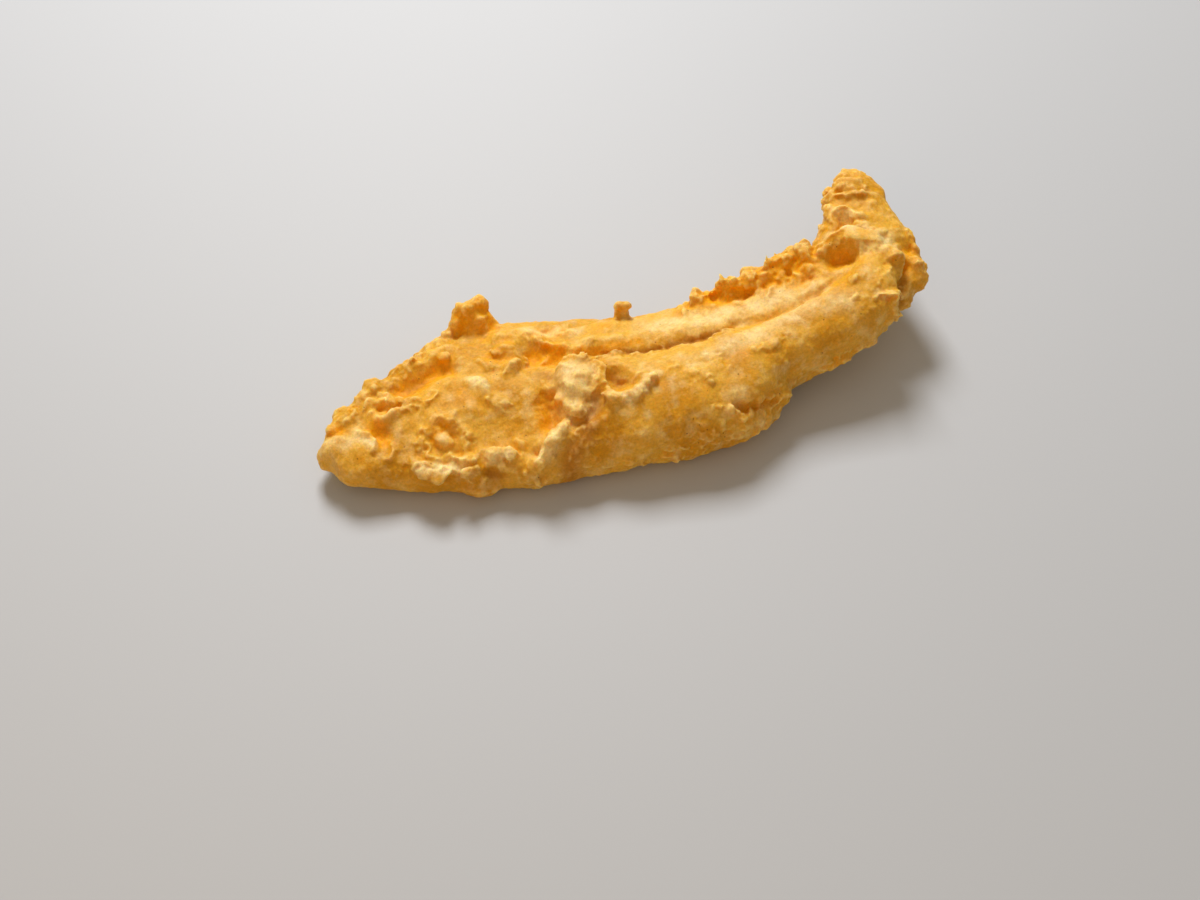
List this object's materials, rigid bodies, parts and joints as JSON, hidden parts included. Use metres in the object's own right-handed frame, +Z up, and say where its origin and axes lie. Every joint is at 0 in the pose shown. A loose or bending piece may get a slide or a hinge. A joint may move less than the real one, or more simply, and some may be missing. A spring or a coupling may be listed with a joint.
{
  "type": "battered fried fish fillet",
  "caption": "Long battered and deep-fried fish fillet with a folded side, a seam along the top, crags of crisp batter and a turned-up tail. It lies on its flat underside.",
  "frame": {"origin": "middle of the bounding box, on the surface that the fillet lies on", "axes": "+X from the head end to the tail, -Y towards the folded side, +Z up"},
  "size_m": [0.2318, 0.0896, 0.038],
  "materials": {
    "fried_batter": "crisp fried batter with a thin oily sheen"
  },
  "bodies": {
    "root": {"fillet": "fried_batter"}
  },
  "joints": []
}
